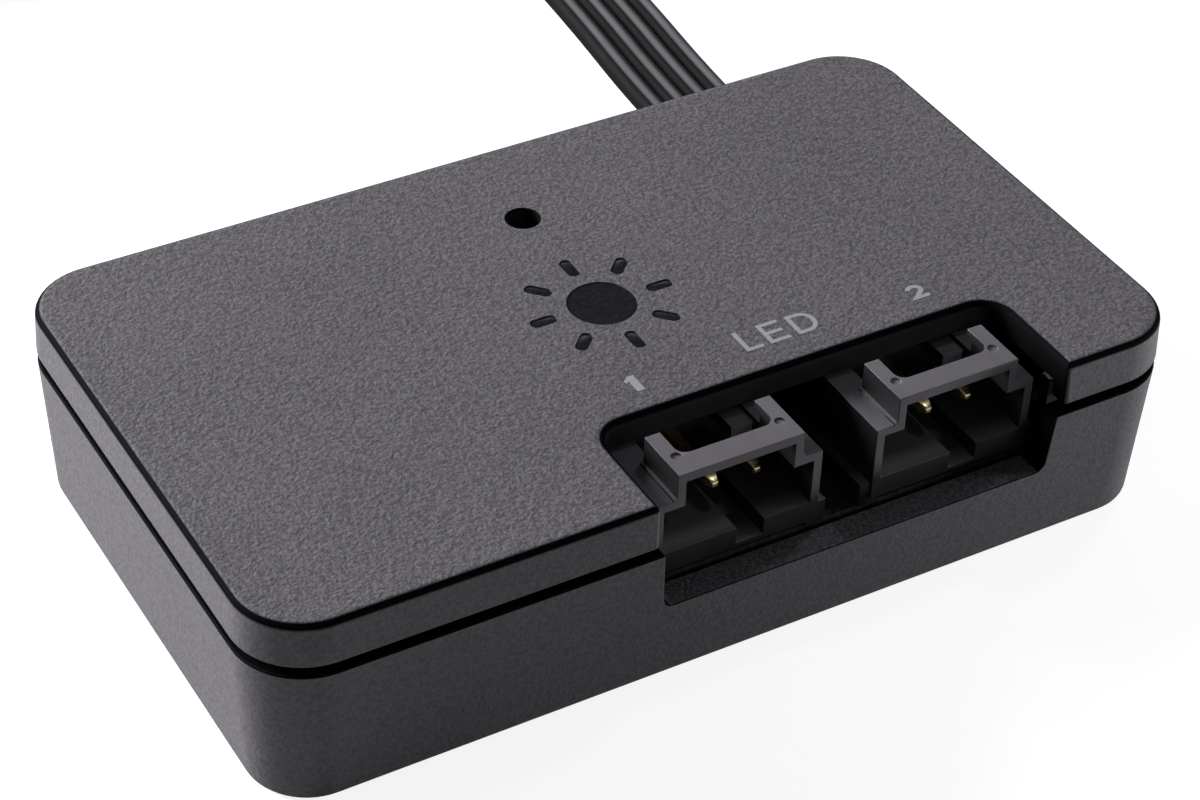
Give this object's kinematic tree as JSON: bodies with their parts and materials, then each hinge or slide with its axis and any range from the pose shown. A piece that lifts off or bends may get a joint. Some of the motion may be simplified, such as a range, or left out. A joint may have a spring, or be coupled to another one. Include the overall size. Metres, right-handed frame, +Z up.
{
  "type": "rgb lighting controller",
  "caption": "Small flat plastic box that drives light strips: latched pin outlets in a front notch, status light hole in the lid, and a flat power lead from the back, coiled, ending in a plug.",
  "frame": {"origin": "middle of the tray's underside, on the surface the case lies on", "axes": "+X along the case's long side, +Y from the outlet side to the lead side, +Z up out of the lid"},
  "size_m": [0.0745, 0.1544, 0.012],
  "materials": {
    "case_plastic": "fine pebbled",
    "outlet_nylon": "satin",
    "gold_plate": "polished plate",
    "board_laminate": "solder mask",
    "chip_resin": "matte",
    "tinned_lead": "bright tin",
    "small_parts": "matte",
    "light_lens": "clear",
    "screw_steel": "plated",
    "socket_steel": "plated",
    "socket_resin": "matte",
    "lead_cover": "semi-gloss",
    "grip_rubber": "matte",
    "tie_plastic": "satin",
    "plug_plastic": "satin"
  },
  "bodies": {
    "root": {"board_screw_1": "screw_steel", "board_screw_2": "screw_steel", "board_screw_3": "screw_steel", "board_screw_4": "screw_steel", "bypass_capacitors": "small_parts", "circuit_board": "board_laminate", "clock_crystal": "tinned_lead", "data_socket_contacts": "gold_plate", "data_socket_insert": "socket_resin", "data_socket_shell": "socket_steel", "lead_core_tails": "lead_cover", "lead_grip": "grip_rubber", "lead_tie": "tie_plastic", "lid": "case_plastic", "line_buffer": "chip_resin", "line_buffer_leads": "tinned_lead", "line_resistors": "small_parts", "microcontroller": "chip_resin", "microcontroller_leads": "tinned_lead", "outlet_1_data_pin": "gold_plate", "outlet_1_ground_pin": "gold_plate", "outlet_1_shroud": "outlet_nylon", "outlet_1_supply_pin": "gold_plate", "outlet_2_data_pin": "gold_plate", "outlet_2_ground_pin": "gold_plate", "outlet_2_shroud": "outlet_nylon", "outlet_2_supply_pin": "gold_plate", "power_lead": "lead_cover", "power_lead_coil": "lead_cover", "power_lead_end": "lead_cover", "power_plug_body": "plug_plastic", "power_plug_cap": "plug_plastic", "power_plug_contacts": "gold_plate", "reservoir_capacitor": "chip_resin", "status_light": "light_lens", "supply_fuse": "small_parts", "tray": "case_plastic", "voltage_regulator": "chip_resin", "voltage_regulator_leads": "tinned_lead"}
  },
  "joints": []
}
